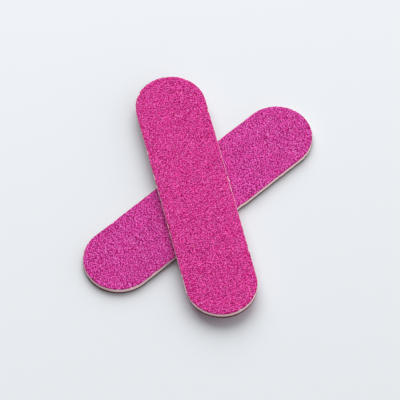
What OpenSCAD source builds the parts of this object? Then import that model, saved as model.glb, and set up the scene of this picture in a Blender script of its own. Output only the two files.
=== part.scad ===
// Mini emery boards, one lying crossed over the other.
// Each board is a round-ended wood core with abrasive paper glued to both of its faces, fine on top and
// coarse below.
// Every layer is a plate of the same outline, because a board is die-cut after it is laminated.
// The origin is the middle of the lower board's underside, and +X runs along the lower board.

/* [Board outline] */
// Length of a board, from the tip of one round end to the tip of the other
board_l = 50; // [30:0.5:90]
// Width of a board, which is also the diameter of its round ends
board_w = 12.7; // [8:0.1:20]

/* [Layers of a board] */
// Thickness of the wood core
core_t = 0.6; // [0.5:0.05:2]
// Thickness of the glue film between the core and each paper
glue_t = 0.03; // [0.02:0.01:0.1]
// Thickness of the top backing paper
paper_t = 0.1; // [0.08:0.01:0.25]
// Thickness of the bottom backing paper, which is heavier because it carries the coarse grit
coarse_paper_t = 0.13; // [0.08:0.01:0.25]
// Thickness of the resin bond coat that holds the grit to its paper
bond_t = 0.03; // [0.02:0.01:0.1]
// Thickness of the top grit coat, from its resin bed to its tallest grains
grit_t = 0.19; // [0.06:0.01:0.3]
// Thickness of the bottom grit coat, the coarse one
coarse_grit_t = 0.26; // [0.06:0.01:0.4]

/* [Crossing] */
// Angle that the upper board is turned from the lower board's length
crossing_angle = 61.3; // [30:0.1:150]
// Place of the upper board's centre along the lower board
crossing_x = -0.5; // [-4:0.05:4]
// Place of the upper board's centre across the lower board
crossing_y = 0.2; // [-2:0.05:2]
// Clearance between the grit of the two boards where they cross
stack_gap = 0.02; // [0.01:0.01:0.1]

/* [Hidden] */
// Facets of a full circle when the model is drawn
$fn = 96;

end_r = board_w / 2;
// Half the distance between the centres of the two round ends
end_x = board_l / 2 - end_r;

// Heights of the layers of one board, counted up from its underside
grit_bottom_z = 0;
bond_bottom_z = grit_bottom_z + coarse_grit_t;
paper_bottom_z = bond_bottom_z + bond_t;
glue_bottom_z = paper_bottom_z + coarse_paper_t;
core_z = glue_bottom_z + glue_t;
glue_top_z = core_z + core_t;
paper_top_z = glue_top_z + glue_t;
bond_top_z = paper_top_z + paper_t;
grit_top_z = bond_top_z + bond_t;
board_t = grit_top_z + grit_t;

wood_colour = "#e6cfae";
glue_colour = "#e4d6b4";
paper_colour = "#efe3d2";
kraft_colour = "#8a6248";
bond_colour = "#a52c70";
grit_colour = "#d33991";

// Outline of a board, seen from above: a bar between two round ends
module outline() {
  square([2 * end_x, board_w], center = true);
  for (side = [-1, 1])
    translate([side * end_x, 0]) circle(r = end_r);
}

// One layer of a board: the outline at a height, with a thickness
module layer(z, t) {
  translate([0, 0, z]) linear_extrude(height = t) outline();
}

// Puts a board's layers where the lower board lies, flat on the table
module at_lower() {
  children();
}

// Puts a board's layers where the upper board lies, across the lower one
module at_upper() {
  translate([crossing_x, crossing_y, board_t + stack_gap])
    rotate([0, 0, crossing_angle])
      children();
}

module wood_core() {
  color(wood_colour) layer(core_z, core_t);
}

module bottom_glue_film() {
  color(glue_colour) layer(glue_bottom_z, glue_t);
}

module bottom_backing_paper() {
  color(kraft_colour) layer(paper_bottom_z, coarse_paper_t);
}

module bottom_bond_coat() {
  color(bond_colour) layer(bond_bottom_z, bond_t);
}

module bottom_grit() {
  color(grit_colour) layer(grit_bottom_z, coarse_grit_t);
}

module top_glue_film() {
  color(glue_colour) layer(glue_top_z, glue_t);
}

module top_backing_paper() {
  color(paper_colour) layer(paper_top_z, paper_t);
}

module top_bond_coat() {
  color(bond_colour) layer(bond_top_z, bond_t);
}

module top_grit() {
  color(grit_colour) layer(grit_top_z, grit_t);
}

at_lower() wood_core();  // lower_wood_core
at_lower() bottom_glue_film();  // lower_bottom_glue_film
at_lower() bottom_backing_paper();  // lower_bottom_backing_paper
at_lower() bottom_bond_coat();  // lower_bottom_bond_coat
at_lower() bottom_grit();  // lower_bottom_grit
at_lower() top_glue_film();  // lower_top_glue_film
at_lower() top_backing_paper();  // lower_top_backing_paper
at_lower() top_bond_coat();  // lower_top_bond_coat
at_lower() top_grit();  // lower_top_grit
at_upper() wood_core();  // upper_wood_core
at_upper() bottom_glue_film();  // upper_bottom_glue_film
at_upper() bottom_backing_paper();  // upper_bottom_backing_paper
at_upper() bottom_bond_coat();  // upper_bottom_bond_coat
at_upper() bottom_grit();  // upper_bottom_grit
at_upper() top_glue_film();  // upper_top_glue_film
at_upper() top_backing_paper();  // upper_top_backing_paper
at_upper() top_bond_coat();  // upper_top_bond_coat
at_upper() top_grit();  // upper_top_grit
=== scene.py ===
import math

import bpy
import numpy as np
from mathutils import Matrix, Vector


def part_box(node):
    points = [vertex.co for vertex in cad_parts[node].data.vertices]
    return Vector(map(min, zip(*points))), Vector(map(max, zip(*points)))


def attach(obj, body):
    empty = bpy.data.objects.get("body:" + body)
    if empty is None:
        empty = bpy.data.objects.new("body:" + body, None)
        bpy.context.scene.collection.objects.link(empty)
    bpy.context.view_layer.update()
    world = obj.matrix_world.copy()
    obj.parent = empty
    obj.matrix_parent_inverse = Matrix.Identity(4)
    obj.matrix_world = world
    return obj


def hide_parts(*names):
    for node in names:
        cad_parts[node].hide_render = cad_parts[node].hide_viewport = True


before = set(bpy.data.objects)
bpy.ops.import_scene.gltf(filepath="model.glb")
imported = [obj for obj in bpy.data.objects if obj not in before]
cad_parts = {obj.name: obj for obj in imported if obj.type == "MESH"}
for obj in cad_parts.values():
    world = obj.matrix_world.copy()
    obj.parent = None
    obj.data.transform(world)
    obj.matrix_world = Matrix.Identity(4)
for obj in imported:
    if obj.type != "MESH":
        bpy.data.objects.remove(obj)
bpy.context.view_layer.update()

# Camera, standing where the photograph was taken from: far off with a long lens, looking down at the
# crossing of the boards. Its place was fitted to the outlines of both. Values are in degrees and metres.
camera_azimuth, camera_elevation, camera_distance = -42.35, 58.5, 0.8031
view_angle = 5
camera_target = np.array([0.00029, -0.00006, 0])


def toward(azimuth, elevation):
    """Unit vector at an azimuth, anticlockwise from -Y, and an elevation above the table, in degrees."""
    around, up = math.radians(azimuth), math.radians(elevation)
    return np.array([math.sin(around) * math.cos(up), -math.cos(around) * math.cos(up), math.sin(up)])


def aimed(data, target, direction, distance):
    """Adds a camera or lamp at a distance from the target, in a direction, that faces the target."""
    made = bpy.data.objects.new(data.name, data)
    made.location = target + direction * distance
    made.rotation_mode = "QUATERNION"
    made.rotation_quaternion = Vector(-direction).to_track_quat("-Z", "Y")
    bpy.context.scene.collection.objects.link(made)
    return made


lens = bpy.data.cameras.new("camera")
lens.lens_unit = "FOV"
lens.angle = math.radians(view_angle)
lens.clip_start, lens.clip_end = 0.01, 10
bpy.context.scene.camera = aimed(
    lens, camera_target, toward(camera_azimuth, camera_elevation), camera_distance)
bpy.context.scene.view_settings.view_transform = "Standard"

# Table, a plain pale matt sheet that reaches past every view of the boards.
table_half = 1.5
table_white = "#E7EBEF"


def colour(code):
    """Linear colour of an sRGB hex value: c / 12.92 up to 0.04045, else ((c + 0.055) / 1.055) ^ 2.4."""
    parts = [int(code[at:at + 2], 16) / 255 for at in (1, 3, 5)]
    return [c / 12.92 if c <= 0.04045 else ((c + 0.055) / 1.055) ** 2.4 for c in parts] + [1.0]


def add(tree, kind, links=None, **settings):
    """Adds a node with its settings, then gives each input in links a value or the output that feeds it.
    The settings come first, because they decide which sockets a name finds."""
    made = tree.nodes.new(kind)
    for name, value in settings.items():
        setattr(made, name, value)
    for socket, value in (links or {}).items():
        if isinstance(value, bpy.types.NodeSocket):
            tree.links.new(value, made.inputs[socket])
        else:
            made.inputs[socket].default_value = value
    return made


def emptied(owner):
    """The node tree of a new material or world, with nothing in it yet."""
    owner.use_nodes = True
    owner.node_tree.nodes.clear()
    return owner.node_tree


table_sheet = bpy.data.materials.new("table_matt_sheet")
tree = emptied(table_sheet)
surface = add(tree, "ShaderNodeBsdfPrincipled",
              {"Base Color": colour(table_white), "Roughness": 0.9, "Specular IOR Level": 0.0})
add(tree, "ShaderNodeOutputMaterial", {"Surface": surface.outputs["BSDF"]})
corners = [(x * table_half, y * table_half, 0) for x, y in ((-1, -1), (1, -1), (1, 1), (-1, 1))]
mesh = bpy.data.meshes.new("table")
mesh.from_pydata(corners, [], [(0, 1, 2, 3)])
mesh.materials.append(table_sheet)
table = bpy.data.objects.new("table", mesh)
bpy.context.scene.collection.objects.link(table)

# Light of a plain studio: one broad round soft box, high behind the boards and a little to the left of the
# picture, and a pale room all round, which gives the table its share of the light. Their common level was
# set so that the open table shows in its colour.
lamp_azimuth, lamp_elevation, lamp_distance, lamp_radius = 144.8, 45.4, 0.8, 0.49
light_level, room_share = 1.03, 0.43
# A round lamp of power P lights the table at P sin(elevation) / (pi^2 (distance^2 + radius^2)).
lamp = bpy.data.lights.new("soft_box", "AREA")
lamp.shape, lamp.size = "DISK", 2 * lamp_radius
lamp.energy = (light_level * (1 - room_share) * math.pi**2 * (lamp_distance**2 + lamp_radius**2)
               / math.sin(math.radians(lamp_elevation)))
aimed(lamp, np.zeros(3), toward(lamp_azimuth, lamp_elevation), lamp_distance)

# From its mean, the room's level falls towards the ceiling, by the fade, and rises towards the right of the
# picture, by the lean. It lights the table at the mean times 1 - fade * 2 / 3, and the lean cancels out.
room_fade, room_lean, room_azimuth = 0.8, 0.6, 61.3
room_level = light_level * room_share / (1 - room_fade * 2 / 3)
room_slope = room_lean * toward(room_azimuth, 0) - room_fade * toward(0, 90)
room = bpy.data.worlds.new("pale_room")
tree = emptied(room)
way = add(tree, "ShaderNodeTexCoord")
slope = add(tree, "ShaderNodeVectorMath",
            {0: way.outputs["Generated"], 1: (room_level * room_slope).tolist()}, operation="DOT_PRODUCT")
level = add(tree, "ShaderNodeMath", {0: slope.outputs["Value"], 1: room_level})
lit = add(tree, "ShaderNodeBackground", {"Color": colour("#FFFFFF"), "Strength": level.outputs["Value"]})
# The camera, mirrors and glass see the room in the table's colour. Only the light that it sheds is sloped.
seen = add(tree, "ShaderNodeBackground", {"Color": colour(table_white), "Strength": 1.0})
ray = add(tree, "ShaderNodeLightPath")
looks = add(tree, "ShaderNodeMath", {0: ray.outputs["Is Camera Ray"], 1: ray.outputs["Is Glossy Ray"]})
looks = add(tree, "ShaderNodeMath", {0: looks.outputs["Value"], 1: ray.outputs["Is Transmission Ray"]},
            use_clamp=True)
either = add(tree, "ShaderNodeMixShader",
             {0: looks.outputs["Value"], 1: lit.outputs["Background"], 2: seen.outputs["Background"]})
add(tree, "ShaderNodeOutputWorld", {"Surface": either.outputs["Shader"]})
bpy.context.scene.world = room

# Wood core of each board, a strip of birch veneer with its grain along the board. Abrasive paper is glued
# to both faces of a wide sheet of it, and a steel-rule die punches the boards out of that stack, so that
# all layers share one cut edge. The die shears the long fibres and crushes the end grain at the tips.
MM = 0.001
core_low, core_high = (np.array(corner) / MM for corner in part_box("lower_wood_core"))
end_r = (core_high[1] - core_low[1]) / 2
end_x = (core_high[0] - core_low[0]) / 2 - end_r
# What is random on a board counts on from the board's own seed.
seeds = {"lower": 11, "upper": 47}
wander_seed, tooth_seed, chip_seed = 0, 1, 2

# Faults of the cut, in mm: the mean depth of each and its length along the edge. A chip comes only where a
# smooth random value passes the rarity, and its depth is for each unit past it.
wander_depth, wander_length = 0.02, 4.0
tooth_depth, tooth_length = 0.014, 0.4
chip_depth, chip_length, chip_rarity = 0.5, 0.9, 0.72
# The lower board was also knocked on its +Y side: where, how deep, and how far the dent runs either way.
dent_x, dent_depth, dent_before, dent_after = -14.4, 0.15, 0.7, 0.15
# The blade leaned on the upper board's +Y side: how far it drew the cut in for each mm below the top.
blade_lean = {"lower": 0.0, "upper": 0.12}


def lie(board):
    """Centre and turn of a board, from its core's box. Half the box less the end radius is how far an end's
    centre lies from the middle: along X by the cosine of the turn, and along Y by its sine."""
    low, high = (np.array(corner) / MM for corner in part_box(board + "_wood_core"))
    reach = (high - low)[:2] / 2 - end_r
    return (low + high)[:2] / 2, math.atan2(max(reach[1], 0), reach[0])


def placed(board, points):
    """Points in a board's own millimetres, turned, moved to where the board lies and given in metres."""
    (centre_x, centre_y), turn = lie(board)
    x, y, z = points.T
    along = x * math.cos(turn) - y * math.sin(turn) + centre_x
    across = x * math.sin(turn) + y * math.cos(turn) + centre_y
    return np.stack([along, across, z], 1) * MM


def drift(x, y, pitch, seed):
    """Smooth random value from -1 to 1: seeded values on a square lattice of this pitch, blended between
    the four corners round each place by the weight 3 t^2 - 2 t^3. The lattice repeats after 256 points."""
    repeat = 256
    lattice = np.random.default_rng(seed).uniform(-1, 1, (repeat, repeat))
    column, row = np.floor(x / pitch).astype(int), np.floor(y / pitch).astype(int)
    t, u = x / pitch - column, y / pitch - row
    t, u = t * t * (3 - 2 * t), u * u * (3 - 2 * u)
    near, far = (
        lattice[(column + i) % repeat, row % repeat] * (1 - u)
        + lattice[(column + i) % repeat, (row + 1) % repeat] * u
        for i in (0, 1))
    return near * (1 - t) + far * t


def from_spine(x, y):
    """Nearest point of the line between the end centres, the distance from it, and the direction away. The
    distance is kept just above 0, because the direction is divided by it."""
    spine = np.clip(x, -end_x, end_x)
    distance = np.maximum(np.hypot(x - spine, y), 1e-9)
    return spine, distance, (x - spine) / distance, y / distance


def rim(x, y):
    """Point of the drawn outline that is nearest to a place on the board."""
    spine, _, out_x, out_y = from_spine(x, y)
    return spine + end_r * out_x, end_r * out_y


def cut_inset(board, x, y, z):
    """How far the cut edge beside a place, at a height, lies inside the drawn outline, in mm. The slow
    wander and the fine tooth of the die are each their mean depth times 1 + a smooth random value. A chip
    is its depth times what such a value is past the rarity. The dent is a bell, exp(-(distance / reach)^2).
    The blade's lean grows with the depth below the board's top and, round the ends, with y."""
    x, y = rim(x, y)
    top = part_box(board + "_top_grit")[1].z / MM
    seed = seeds[board]
    inset = wander_depth * (1 + drift(x, y, wander_length, seed + wander_seed))
    inset = inset + tooth_depth * (1 + drift(x, y, tooth_length, seed + tooth_seed))
    inset = inset + chip_depth * np.clip(drift(x, y, chip_length, seed + chip_seed) - chip_rarity, 0, 1)
    if board == "lower":
        past = x - dent_x
        bell = np.exp(-(past / np.where(past < 0, dent_before, dent_after)) ** 2)
        inset = inset + dent_depth * bell * (y > 0)
    return inset + blade_lean[board] * (top - z) * np.clip(y / end_r, 0, 1)


def spread(along, across):
    """Place on a board of a grid point: along runs its length in mm, and across goes from -1 to 1. The grid
    is square over the bar. Over a round end, the share t of the way out narrows it by sqrt(1 - t^2 / 2),
    and across draws it in by sqrt(1 - across^2 / 2), so that its outermost points lie on the circle."""
    t = np.clip((np.abs(along) - end_x) / end_r, 0, 1)
    reach = np.minimum(np.abs(along), end_x) + end_r * t * np.sqrt(1 - across**2 / 2)
    return np.sign(along) * reach, end_r * across * np.sqrt(1 - t**2 / 2)


def grid_size(step):
    """Even numbers of columns and rows whose cells are about step mm wide."""
    return 2 * round((end_x + end_r) / step), 2 * round(end_r / step)


def grid_edge(columns, rows):
    """Column and row of each point on the grid's edge, anticlockwise from the middle of the +X end."""
    half = rows // 2
    forth, back = np.arange(columns), np.arange(columns, 0, -1)
    up, down = np.arange(rows), np.arange(rows, 0, -1)
    column = np.r_[[columns] * half, back, [0] * rows, forth, [columns] * half]
    row = np.r_[up[half:], [rows] * columns, down, [0] * columns, up[:half]]
    return column, row


# The bake's map of a piece is a square, cut into level strips, with a margin that stays free at its sides.
# A plate's edge takes four strips, a quarter turn each, and its top and underside take narrower ones above.
map_margin = 0.005
edge_strip, strip_margin = 0.2, 0.01
top_strip, under_strip = (0.81, 0.89), (0.91, 0.99)


def strip_map(along, across, low, high):
    """Place on the bake's map, from shares of the way along and across the strip from low to high."""
    return np.stack([map_margin + (1 - 2 * map_margin) * along, low + (high - low) * across], -1)


def flat_map(points, low, high):
    """Place on the bake's map of points seen from above, in the strip from low to high."""
    along, across = points[..., 0] / (end_x + end_r), points[..., 1] / end_r
    return strip_map(along / 2 + 0.5, across / 2 + 0.5, low, high)


def wall_faces(rings):
    """Faces between rings of points that go up an edge, and the quarter turns and the height, from 0 to 1,
    of each corner."""
    levels, count = rings.shape[:2]
    level, here = np.meshgrid(np.arange(levels - 1), np.arange(count), indexing="ij")
    beside = (here + 1) % count
    foot, head = level * count, (level + 1) * count
    faces = np.stack([foot + here, foot + beside, head + beside, head + here], -1).reshape(-1, 4)
    turns = np.stack([here, here + 1, here + 1, here], -1).reshape(-1, 4) * 4 / count
    height = np.stack([level, level, level + 1, level + 1], -1).reshape(-1, 4) / (levels - 1)
    return faces, turns, height


def face_strips(count):
    """Strips across a flat face that join each point of its ring to its mirror image over the long axis,
    and the triangle that is left at each tip."""
    k = np.arange(1, count // 2 - 1)
    strips = np.stack([k, k + 1, count - k - 1, count - k], -1)
    return strips, np.array([[0, 1, count - 1], [count // 2 - 1, count // 2, count // 2 + 1]])


def plate(board, layer, step, heights, inset):
    """A layer as a closed plate: its points, its faces and their places on the bake's map. Its edge is
    carried round the outline: at each height, a share of the way up the layer, a point moves in by the
    cut's inset and by inset(x, y, level, end), where end is how far the edge there faces along the board,
    from 0 on the long sides to 1 at the tips."""
    low, high = (corner.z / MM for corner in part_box(f"{board}_{layer}"))
    columns, rows = grid_size(step)
    column, row = grid_edge(columns, rows)
    x, y = spread((column / columns * 2 - 1) * (end_x + end_r), row / rows * 2 - 1)
    spine, _, out_x, out_y = from_spine(x, y)
    level = np.asarray(heights)[:, None] + 0 * x
    z = low + (high - low) * level
    moved = end_r - cut_inset(board, x, y, z) - inset(x + 0 * level, y + 0 * level, level, np.abs(out_x))
    rings = np.stack([spine + moved * out_x, moved * out_y, z], -1)

    walls, turns, height = wall_faces(rings)
    quarter = np.floor(turns.min(1, keepdims=True))
    strip_low = edge_strip * quarter + strip_margin
    strip_high = edge_strip * (quarter + 1) - strip_margin
    faces, maps = [walls], [strip_map(turns - quarter, height, strip_low, strip_high)]
    points = rings.reshape(-1, 3)
    top = len(points) - len(column)
    for flat in face_strips(len(column)):
        faces += [flat + top, flat[:, ::-1]]
        maps += [flat_map(points[flat + top], *top_strip), flat_map(points[flat[:, ::-1]], *under_strip)]
    return points, faces, maps


def piece(name, board, layer, slot, material, points, faces, maps, **values):
    """Makes a layer's mesh in its place. It rides on its board and stands for its CAD node, which it hides.
    The slot is not used. For the patterns, each point keeps its board's own millimetres, moved along by the
    seed so that no pattern is the same on both boards, and any other values."""
    mesh = bpy.data.meshes.new(name)
    all_faces = [face for block in faces for face in block.tolist()]
    mesh.from_pydata(placed(board, points).tolist(), [], all_faces)
    mesh.materials.append(material)
    mesh.uv_layers.new(name="OFBake").data.foreach_set(
        "uv", np.concatenate([block.ravel() for block in maps]).astype(np.float32))
    own = mesh.attributes.new("board_mm", "FLOAT_VECTOR", "POINT")
    own.data.foreach_set("vector", (points + [seeds[board], 0, 0]).astype(np.float32).ravel())
    for label, value in values.items():
        kept = mesh.attributes.new(label, "FLOAT", "POINT")
        kept.data.foreach_set("value", value.astype(np.float32).ravel())
    made = bpy.data.objects.new(name, mesh)
    bpy.context.scene.collection.objects.link(made)
    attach(made, board + "_board")
    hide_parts(f"{board}_{layer}")


core_step = 0.1
core_heights = np.linspace(0, 1, 13)
fibre_length, fibre_height, fibre_depth, fibre_seed = 1.2, 0.09, 0.018, 3
crush_width, crush_change, crush_depth, crush_seed = 0.14, 0.3, 0.018, 4
roll_depth = 0.04


def core_inset(x, y, level, end):
    """The fibre depth, more or less by a smooth random value: sheared fibres ripple the long sides, and
    crush marks run up the tips and change a little on the way. To this is added the roll that the die's
    pressure gives the top corner, by level^6."""
    up = (core_high[2] - core_low[2]) * level
    fibres = fibre_depth * drift(x / fibre_length, up / fibre_height, 1.0, fibre_seed)
    crush = crush_depth * drift((x + y) / crush_width, crush_change * level, 1.0, crush_seed)
    return fibre_depth + fibres * (1 - end) + crush * end + roll_depth * level**6


# Birch veneer, punched: pale, dry and tinged with pink dust, with faint streaks 3 mm long and 0.2 mm wide,
# thin brown growth lines about 0.5 mm apart, and darker end grain at the tips, where it is cut across.
# The lower part of the cut is painted browner, most at the tips, as painted shade that darkens the wall
# towards the table.
veneer = bpy.data.materials.new("birch_veneer_punched")
tree = emptied(veneer)
own = add(tree, "ShaderNodeAttribute", attribute_name="board_mm")
long = add(tree, "ShaderNodeMapping", {"Vector": own.outputs["Vector"], "Scale": (0.35, 5.0, 9.0)})
streaks = add(tree, "ShaderNodeTexNoise", {"Vector": long.outputs["Vector"], "Scale": 1.0, "Detail": 4.0})
wood = add(tree, "ShaderNodeMix", {"Factor": streaks.outputs["Fac"], "A": colour("#FFE6EA"),
                                   "B": colour("#F8CCD4")}, data_type="RGBA")
layered = add(tree, "ShaderNodeMapping", {"Vector": own.outputs["Vector"], "Scale": (0.05, 0.4, 2.0)})
rings = add(tree, "ShaderNodeTexWave", {"Vector": layered.outputs["Vector"], "Scale": 0.3,
                                        "Distortion": 3.0, "Detail": 2.0}, bands_direction="Z")
line = add(tree, "ShaderNodeMapRange", {"Value": rings.outputs["Fac"], "From Min": 0.85, "From Max": 1.0,
                                        "To Min": 0.0, "To Max": 0.35})
lined = add(tree, "ShaderNodeMix", {"Factor": line.outputs["Result"], "A": wood.outputs["Result"],
                                    "B": colour("#C79E73")}, data_type="RGBA")
tip = add(tree, "ShaderNodeAttribute", attribute_name="end_grain")
darker = add(tree, "ShaderNodeMapRange", {"Value": tip.outputs["Fac"], "From Min": 0.5, "From Max": 1.0,
                                          "To Min": 1.0, "To Max": 0.9})
# Painted shade: the wall is mixed towards brown from its foot up to 0.8 of its height, most at the tips.
up = add(tree, "ShaderNodeAttribute", attribute_name="share_up")
most = add(tree, "ShaderNodeMapRange", {"Value": tip.outputs["Fac"], "From Min": 0.3, "From Max": 1.0,
                                        "To Min": 0.3, "To Max": 0.8})
painted_foot_shade = add(tree, "ShaderNodeMapRange", {"Value": up.outputs["Fac"], "From Min": 0.0, "From Max": 0.8,
                                          "To Min": most.outputs["Result"], "To Max": 0.0})
foot_shaded = add(tree, "ShaderNodeMix", {"Factor": painted_foot_shade.outputs["Result"], "A": lined.outputs["Result"],
                                      "B": colour("#A06C66")}, data_type="RGBA")
shown = add(tree, "ShaderNodeHueSaturation", {"Color": foot_shaded.outputs["Result"],
                                              "Value": darker.outputs["Result"]})
bump = add(tree, "ShaderNodeBump", {"Height": streaks.outputs["Fac"], "Strength": 0.5,
                                    "Distance": 0.03 * MM})
surface = add(tree, "ShaderNodeBsdfPrincipled", {"Base Color": shown.outputs["Color"], "Roughness": 0.75,
                                                 "Normal": bump.outputs["Normal"]})
add(tree, "ShaderNodeOutputMaterial", {"Surface": surface.outputs["BSDF"]})

for board in seeds:
    points, faces, maps = plate(board, "wood_core", core_step, core_heights, core_inset)
    out_x = from_spine(points[:, 0], points[:, 1])[2]
    piece(board + "_veneer_core", board, "wood_core", "wood_core", veneer, points, faces, maps,
          end_grain=np.abs(out_x), share_up=np.repeat(core_heights, len(points) // len(core_heights)))

# Glue films, white wood glue that holds each paper to the core. The press leaves them thin, and they stand
# a little back at the edge, apart from beads that were squeezed out.
glue_step = 0.12
thin_heights = (0, 0.5, 1)
glue_recess, bead_length, bead_seed = 0.05, 0.8, 5


def glue_inset(x, y, level, end):
    """Back by the recess times 1 - a smooth random value, wherever that is above 0 and makes a bead."""
    return glue_recess * (1 - np.clip(drift(x, y, bead_length, bead_seed), 0, 1))


# Wood glue, dried under pressure: straw-coloured, a little glossy, clouded where it is thicker.
glue = bpy.data.materials.new("wood_glue_pressed_dry")
tree = emptied(glue)
own = add(tree, "ShaderNodeAttribute", attribute_name="board_mm")
cloud = add(tree, "ShaderNodeTexNoise", {"Vector": own.outputs["Vector"], "Scale": 1.4, "Detail": 2.0})
tone = add(tree, "ShaderNodeMix", {"Factor": cloud.outputs["Fac"], "A": colour("#F2E6CC"),
                                   "B": colour("#DCC8A2")}, data_type="RGBA")
gloss = add(tree, "ShaderNodeMapRange", {"Value": cloud.outputs["Fac"], "From Min": 0.3, "From Max": 0.7,
                                         "To Min": 0.35, "To Max": 0.5})
surface = add(tree, "ShaderNodeBsdfPrincipled", {"Base Color": tone.outputs["Result"],
                                                 "Roughness": gloss.outputs["Result"]})
add(tree, "ShaderNodeOutputMaterial", {"Surface": surface.outputs["BSDF"]})

for board in seeds:
    for side in ("bottom", "top"):
        layer = side + "_glue_film"
        piece(f"{board}_{layer}_layer", board, layer, "glue_film", glue,
              *plate(board, layer, glue_step, thin_heights, glue_inset))

# Backing papers, the sheets that carry the abrasive, glued to the core. The die leaves their cut edge a
# little fuzzy. The fine sheet on top is on white paper. The coarse sheet below is drawn dark brown, as
# painted shade for the dark line under the pale edge.
paper_step = 0.1
paper_recess, paper_bulge = 0.012, 0.5
fuzz_length, fuzz_slant, fuzz_seed = 0.12, 0.3, 6


def paper_inset(x, y, level, end):
    """Fuzz of the cut fibres, the recess times 1 + a smooth random value. The paper bulges out of the
    recess at half height, by the bulge times sin(pi level)."""
    fuzz = drift(x / fuzz_length, (y + fuzz_slant * level) / fuzz_length, 1.0, fuzz_seed)
    return paper_recess * (1 + fuzz) * (1 - paper_bulge * np.sin(np.pi * level))


# Backing papers, cut: matt fibres, drawn 0.1 mm wide in place of 0.03 mm, as finer ones would not show. The
# bleached paper is blushed by the dye of the coat on it, and the lower one is painted dark, as painted
# shade.
papers = {
    "top": ("bleached_backing_paper_cut", "backing_paper", "#FFE4E8", "#F8C0D0"),
    # Painted shade: the lower sheet's dark brown stands in for the shadow line under the edge.
    "bottom": ("dark_backing_paper_painted_shade", "kraft_paper", "#64403A", "#3E2628"),
}
for side, (name, slot, pale, deep) in papers.items():
    backing = bpy.data.materials.new(name)
    tree = emptied(backing)
    own = add(tree, "ShaderNodeAttribute", attribute_name="board_mm")
    fibre = add(tree, "ShaderNodeTexNoise", {"Vector": own.outputs["Vector"], "Scale": 9.0, "Detail": 3.0})
    tone = add(tree, "ShaderNodeMix", {"Factor": fibre.outputs["Fac"], "A": colour(pale),
                                       "B": colour(deep)}, data_type="RGBA")
    bump = add(tree, "ShaderNodeBump", {"Height": fibre.outputs["Fac"], "Strength": 0.4,
                                        "Distance": 0.01 * MM})
    surface = add(tree, "ShaderNodeBsdfPrincipled", {"Base Color": tone.outputs["Result"],
                                                     "Roughness": 0.85, "Normal": bump.outputs["Normal"]})
    add(tree, "ShaderNodeOutputMaterial", {"Surface": surface.outputs["BSDF"]})
    for board in seeds:
        layer = side + "_backing_paper"
        piece(f"{board}_{layer}_layer", board, layer, slot, backing,
              *plate(board, layer, paper_step, thin_heights, paper_inset))

# Bond coats, the first coat of resin, rolled onto the paper to catch the grains. It is brittle, so its edge
# crumbles: the top one more, with bites that bare the paper, because the die strikes it first.
bond_step = 0.12
crumbled = {"top": 0.06, "bottom": 0.02}
crumb_swing, crumb_length, crumb_seed = 0.5, 0.2, 3
bite_depth, bite_length, bite_rarity, bite_seed = 0.3, 0.5, 0.4, 4


def crumble(board, side, x, y):
    """How far a coat has crumbled back from the cut beside a place: its mean depth times 1 + the swing
    times a smooth random value. On top, a bite adds its depth times what such a value is past its
    rarity."""
    x, y = rim(x, y)
    crumbs = drift(x, y, crumb_length, seeds[board] + crumb_seed)
    bites = np.clip(drift(x, y, bite_length, seeds[board] + bite_seed) - bite_rarity, 0, 1)
    return crumbled[side] * (1 + crumb_swing * crumbs) + bite_depth * bites * (side == "top")


# Phenolic resin, tinted and cured: a dark glossy magenta film with thicker and thinner spots.
bond = bpy.data.materials.new("tinted_resin_bond_cured")
tree = emptied(bond)
own = add(tree, "ShaderNodeAttribute", attribute_name="board_mm")
cloud = add(tree, "ShaderNodeTexNoise", {"Vector": own.outputs["Vector"], "Scale": 6.0, "Detail": 2.0})
tone = add(tree, "ShaderNodeMix", {"Factor": cloud.outputs["Fac"], "A": colour("#C4378B"),
                                   "B": colour("#8E1F5F")}, data_type="RGBA")
surface = add(tree, "ShaderNodeBsdfPrincipled", {"Base Color": tone.outputs["Result"], "Roughness": 0.35})
add(tree, "ShaderNodeOutputMaterial", {"Surface": surface.outputs["BSDF"]})

for board in seeds:
    for side in crumbled:
        layer = side + "_bond_coat"

        def bond_inset(x, y, level, end):
            """Back to where the coat has crumbled to."""
            return crumble(board, side, x, y)

        piece(f"{board}_{side}_bond_resin_layer", board, layer, "bond_resin", bond,
              *plate(board, layer, bond_step, thin_heights, bond_inset))

# Grit coats, crushed aluminium oxide dropped into the wet bond and locked in by a second, pink coat of
# resin. The die cuts through the grains at the rim, where the top coat crumbles and wears lower. Real ones
# are about 0.1 mm across on top and 0.15 mm below, too fine to show, so they are drawn coarser.
grain_pitch = {"top": 0.19, "bottom": 0.28}
# In pitches: how far a grain lies off the lattice, and the range of its head's radius. Its foot is smaller,
# by the share, and its corners turn either way, in radians.
lattice_shift, grain_radius = 0.33, (0.6, 0.9)
foot_share, corner_turn = 0.85, 0.4
# In shares of the coat's height: the range of the heads' middles, and the lowest that a corner dips. The
# slope is a head's usual rise for each mm across it.
grain_tip, lowest_tip, head_slope = (0.8, 1.0), 0.1, 0.2
# Corners 0 to 2 are a grain's foot and 3 to 5 its head. The faces are the foot, three pairs at the sides,
# and the head.
grain_faces = np.array(
    [(0, 2, 1), (0, 1, 4), (0, 4, 3), (1, 2, 5), (1, 5, 4), (2, 0, 3), (2, 3, 5), (3, 4, 5)])
# Strength of colour, from 0 to 1: its contrast, the share of the neighbours' mean that is taken off, and
# the most that a grain under resin has.
grain_contrast, neighbour_share, strongest = 0.8, 0.8, 0.95
# Shares of all grains: those that fell out, and those that are bare of resin, which are drawn pale, partly
# as a painted glint.
lost_grains, bare_and_glint_grains = 0.03, 0.02
# The rim's wear: the share of the coat's height that is left at the very rim, how far in the wear reaches,
# in mm, and the outermost share of that, which holds no grain.
rim_height = {"top": 0.25, "bottom": 0.85}
rim_width, worn_share = 0.3, 0.15


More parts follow.
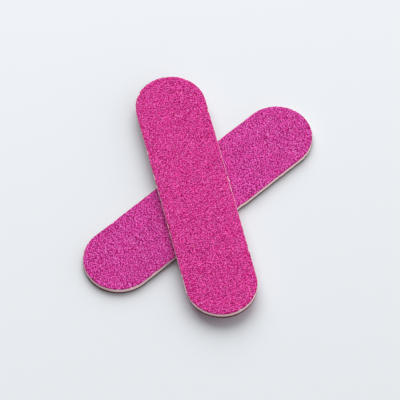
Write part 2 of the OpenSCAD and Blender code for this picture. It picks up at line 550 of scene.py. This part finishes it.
def raised(board, side, rise):
    """Height of a point that rises this far from the bond coat, which is upward on top and downward below,
    and the coat's full rise."""
    low, high = (corner.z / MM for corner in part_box(f"{board}_{side}_grit"))
    return (low + rise if side == "top" else high - rise), high - low


def coat_edge(board, side, x, y):
    """Distance from the spine at which the coat ends beside a place."""
    return end_r - cut_inset(board, x, y, raised(board, side, 0)[0]) - crumble(board, side, x, y)


def rim_share(board, side, x, y):
    """Share from 0 at the coat's rim to 1 where the rim's wear ends."""
    return np.clip((coat_edge(board, side, x, y) - from_spine(x, y)[1]) / rim_width, 0, 1)


def grains(board, side):
    """Grains on a triangular lattice, each moved at random. A grain is a block with three corners at its
    foot on the bond coat and three at its wider head, a third of a turn apart, more or less. The head lies
    at a random height and slopes at random. The coat's height grows from the rim's by the square root of
    the rim share. Corners past the coat's edge are drawn back to it. A grain's strength of colour is 0.5 +
    the contrast times (a random value - a share of its four neighbours' mean), which spreads light and
    dark grains evenly, or 1 for a grain without resin, drawn pale, partly as a painted glint. Returns the
    corners, the faces and each corner's strength."""
    random = np.random.default_rng([seeds[board], side == "top"])
    pitch = grain_pitch[side]
    rows = np.arange(-end_r, end_r, pitch * math.sqrt(0.75))
    columns = np.arange(-end_x - end_r, end_x + end_r, pitch)
    x, y = np.meshgrid(columns, rows)
    x = x + pitch / 2 * (np.arange(len(rows)) % 2)[:, None]
    x, y = (at + random.uniform(-lattice_shift, lattice_shift, at.shape) * pitch for at in (x, y))
    strength = random.normal(size=x.shape)
    beside = sum(np.roll(strength, step, axis) for step in (-1, 1) for axis in (0, 1)) / 4
    strength = np.clip(0.5 + grain_contrast * (strength - neighbour_share * beside), 0, strongest)
    strength[random.random(x.shape) < bare_and_glint_grains] = 1
    kept = (rim_share(board, side, x, y) > worn_share) & (random.random(x.shape) > lost_grains)
    x, y, strength = x[kept], y[kept], strength[kept]
    inner = rim_share(board, side, x, y)[:, None]

    corner, count = np.arange(6), (len(x), 6)
    bearing = 2 * np.pi * (random.random((len(x), 1)) + corner / 3)
    bearing = bearing + random.uniform(-corner_turn, corner_turn, count)
    reach = pitch * random.uniform(*grain_radius, count) * np.where(corner < 3, foot_share, 1)
    along, across = reach * np.cos(bearing), reach * np.sin(bearing)
    full = raised(board, side, 0)[1] * (rim_height[side] + (1 - rim_height[side]) * np.sqrt(inner))
    slope_x, slope_y = random.normal(0, head_slope, (2, len(x), 1))
    head = random.uniform(*grain_tip, (len(x), 1)) * full + slope_x * along + slope_y * across
    rise = np.where(corner < 3, 0, np.clip(head, lowest_tip * full, full))
    spine, distance, out_x, out_y = from_spine(x[:, None] + along, y[:, None] + across)
    distance = np.minimum(distance, coat_edge(board, side, x[:, None] + along, y[:, None] + across))
    corners = np.stack([spine + distance * out_x, distance * out_y, raised(board, side, rise)[0]], -1)
    faces = (grain_faces + 6 * np.arange(len(x))[:, None, None]).reshape(-1, 3)
    return corners.reshape(-1, 3), faces, np.repeat(strength, 6)


# The bed of resin between the grains: its grid's step in mm, its share of the coat's height, its strength
# of colour, and the height, length and seed of the ripples in it.
bed_step, bed_share, bed_tone = 0.25, 0.6, 0.0
fine_ripple, fine_length, fine_seed = 0.12, 0.31, 6
broad_ripple, broad_length, broad_seed = 0.05, 1.7, 7
# On the bake's map, the coat's face with its grains takes most of the square, above the bed's underside
# and its wall.
coat_strip, bed_under_strip, bed_wall_strip = (0.12, 0.99), (0.06, 0.10), (0.01, 0.05)


def resin_bed(board, side):
    """The resin between the grains: a grid spread over the board whose height ripples at random, drawn to
    the rim's height at the rim, with a wall down to the bond coat and strips across below. Returns its
    points, faces, places on the bake's map and strengths of colour, which are all the same."""
    columns, rows = grid_size(bed_step)
    column, row = np.meshgrid(np.arange(columns + 1), np.arange(rows + 1), indexing="ij")
    x, y = spread((column / columns * 2 - 1) * (end_x + end_r), row / rows * 2 - 1)
    bond_z, rise = raised(board, side, 0)
    spine, distance, out_x, out_y = from_spine(x, y)
    distance = distance * coat_edge(board, side, x, y) / end_r
    x, y = spine + distance * out_x, distance * out_y
    inner = rim_share(board, side, x, y)
    ripple = (fine_ripple * drift(x, y, fine_length, seeds[board] + fine_seed)
              + broad_ripple * drift(x, y, broad_length, seeds[board] + broad_seed))
    share = (bed_share + ripple) * inner + rim_height[side] * (1 - inner)
    sheet = np.stack([x, y, raised(board, side, rise * share)[0]], -1)

    edge = grid_edge(columns, rows)
    foot = sheet[edge] * (1, 1, 0) + (0, 0, bond_z)
    points = np.concatenate([sheet.reshape(-1, 3), foot])
    corner = (column * (rows + 1) + row)[:-1, :-1]
    top = np.stack([corner, corner + rows + 1, corner + rows + 2, corner + 1], -1).reshape(-1, 4)
    ring = np.concatenate([sheet[..., 0].size + np.arange(len(foot)), edge[0] * (rows + 1) + edge[1]])
    walls, turns, level = wall_faces(points[ring].reshape(2, -1, 3))
    strips, tips = (ring[flat[:, ::-1]] for flat in face_strips(len(foot)))
    maps = [flat_map(points[top], *coat_strip), strip_map(turns / 4, level, *bed_wall_strip)]
    maps += [flat_map(points[flat], *bed_under_strip) for flat in (strips, tips)]
    return points, [top, ring[walls], strips, tips], maps, np.full(len(points), bed_tone)


# Aluminium oxide under tinted resin, cured: blocky grains with small facets, a little glossy, from deep
# magenta where the resin pooled to bright pink where it is thin. About one grain in fifty is bare and is
# drawn pale pink, partly its own colour and partly a painted glint. The colour changes a little over
# patches
# 3 mm wide, and fine chips 0.05 mm wide roughen the facets. The coarse coat's rim is painted dark brown, as
# painted shade for the shadow line under the edge. The two boards are given slightly different tints.
board_tints = {
    "lower": ("alumina_grit_magenta_resin", "#AC006E", "#F032A6", "#FF70DC"),
    "upper": ("alumina_grit_fuchsia_resin", "#B40066", "#F62A9E", "#FF68D0"),
}
grit = {}
for board, (name, pooled, full, thin) in board_tints.items():
    grit[board] = bpy.data.materials.new(name)
    tree = emptied(grit[board])
    grain = add(tree, "ShaderNodeAttribute", attribute_name="grain")
    own = add(tree, "ShaderNodeAttribute", attribute_name="board_mm")
    tone = add(tree, "ShaderNodeValToRGB", {"Fac": grain.outputs["Fac"]})
    stops = tone.color_ramp.elements
    stops[0].color, stops[1].color = colour(pooled), colour(thin)
    stops.new(0.5).color = colour(full)
    # Grains without resin are mixed towards pale pink, partly their own colour and partly a painted glint.
    bare = add(tree, "ShaderNodeMapRange", {"Value": grain.outputs["Fac"], "From Min": 0.96,
                                            "From Max": 0.99, "To Min": 0.0, "To Max": 0.35})
    mixed = add(tree, "ShaderNodeMix", {"Factor": bare.outputs["Result"], "A": tone.outputs["Color"],
                                        "B": colour("#FFC4E4")}, data_type="RGBA")
    # Painted shade: towards the coarse coat's rim the colour is mixed to dark brown.
    smear = add(tree, "ShaderNodeAttribute", attribute_name="smear")
    rim_shaded = add(tree, "ShaderNodeMix", {"Factor": smear.outputs["Fac"], "A": mixed.outputs["Result"],
                                         "B": colour("#40242A")}, data_type="RGBA")
    cloud = add(tree, "ShaderNodeTexNoise", {"Vector": own.outputs["Vector"], "Scale": 0.35,
                                             "Detail": 2.0})
    mottle = add(tree, "ShaderNodeMapRange", {"Value": cloud.outputs["Fac"], "From Min": 0.3,
                                              "From Max": 0.7, "To Min": 0.96, "To Max": 1.04})
    shown = add(tree, "ShaderNodeHueSaturation", {"Color": rim_shaded.outputs["Result"],
                                                  "Value": mottle.outputs["Result"]})
    gloss = add(tree, "ShaderNodeMapRange", {"Value": grain.outputs["Fac"], "From Min": 0.0,
                                             "From Max": 1.0, "To Min": 0.6, "To Max": 0.4})
    fine = add(tree, "ShaderNodeTexNoise", {"Vector": own.outputs["Vector"], "Scale": 22.0,
                                            "Detail": 2.0})
    bump = add(tree, "ShaderNodeBump", {"Height": fine.outputs["Fac"], "Strength": 0.35,
                                        "Distance": 0.01 * MM})
    surface = add(tree, "ShaderNodeBsdfPrincipled",
                  {"Base Color": shown.outputs["Color"], "Roughness": gloss.outputs["Result"],
                   "Normal": bump.outputs["Normal"], "IOR": 1.5, "Specular IOR Level": 0.12})
    add(tree, "ShaderNodeOutputMaterial", {"Surface": surface.outputs["BSDF"]})

for board in seeds:
    for side in ("bottom", "top"):
        bed, faces, maps, bed_strength = resin_bed(board, side)
        corners, facets, strength = grains(board, side)
        faces.append(facets + len(bed))
        maps.append(flat_map(corners[facets], *coat_strip))
        # The coarse coat hangs from its bond coat, so its faces are turned round to point outwards. The
        # painted shade of its rim is on it alone, and fades inwards by the square of what is left of the
        # rim share.
        if side == "bottom":
            faces, maps = ([block[:, ::-1] for block in blocks] for blocks in (faces, maps))
        points = np.concatenate([bed, corners])
        smear = (1 - rim_share(board, side, points[:, 0], points[:, 1])) ** 2 * (side == "bottom")
        piece(f"{board}_{side}_grit_coat", board, side + "_grit", "abrasive_grit", grit[board],
              points, faces, maps, grain=np.r_[bed_strength, strength], smear=smear)
